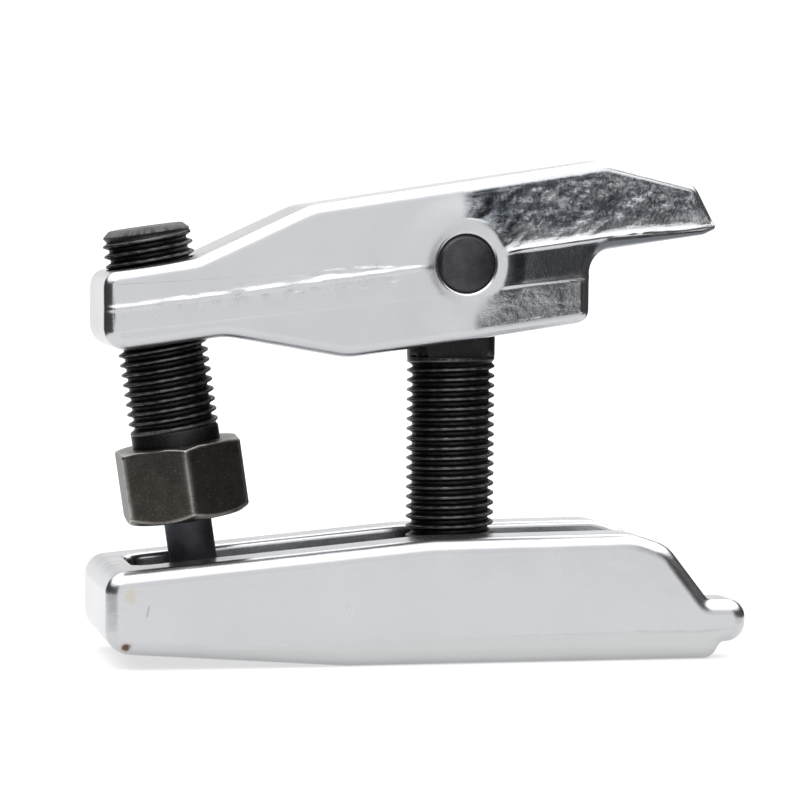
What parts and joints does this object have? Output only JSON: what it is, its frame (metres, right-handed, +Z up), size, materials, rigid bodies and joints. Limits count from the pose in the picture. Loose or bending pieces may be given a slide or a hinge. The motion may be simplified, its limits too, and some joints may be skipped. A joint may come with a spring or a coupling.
{
  "type": "ball joint separator",
  "caption": "Scissor-type ball joint separator: forged fork, threaded pivot post, slotted lever on a cross pin and a hexagon forcing screw that closes the jaws.",
  "frame": {"origin": "on the lower jaw's flat underside, in the middle of the tool's length and width", "axes": "+Z up along the pivot post, which stands at X = 7.5 mm; +X along the tool towards the open ends of the jaws; Y along the cross pin"},
  "size_m": [0.131, 0.041, 0.1012],
  "materials": {
    "plated_jaw": "bright plating over a shot-blasted forging",
    "plated_lever": "bright plating over a shot-blasted forging",
    "black_post": "black oxide",
    "black_screw": "black oxide, worn edges",
    "dark_pin": "ground and blackened",
    "dark_tip": "hardened, blackened",
    "spring_wire": "spring steel wire"
  },
  "bodies": {
    "fork": {"lower_jaw": "plated_jaw"},
    "post": {"pivot_post": "black_post"},
    "lever": {"upper_jaw": "plated_lever", "cross_pin": "dark_pin"},
    "tip": {"thrust_tip": "dark_tip", "tip_ring": "spring_wire"},
    "screw": {"forcing_screw": "black_screw"}
  },
  "joints": [
    {"name": "post_height", "type": "slide", "parent": "fork", "child": "post", "axis": [0, 0, 1], "range_m": [0, 0.008]},
    {"name": "lever_pivot", "type": "hinge", "parent": "post", "child": "lever", "pos_m": [0.0075, 0, 0.08], "axis": [0, 1, 0], "range_deg": [-12.02, 5.96]},
    {"name": "screw_feed", "type": "slide", "parent": "lever", "child": "tip", "axis": [0.1478, 0, -0.989], "range_m": [-0.01124, 0.00557]},
    {"name": "screw_turn", "type": "hinge", "parent": "tip", "child": "screw", "pos_m": [-0.04799, 0, 0.03597], "axis": [0.1478, 0, -0.989], "range_deg": [-2024, 1003]}
  ],
  "couplings": [
    {"joint": "screw_turn", "follows": "screw_feed", "rad_per_m": 3141.6},
    {"joint": "lever_pivot", "follows": "screw_feed", "rad_per_m": 18.657}
  ]
}
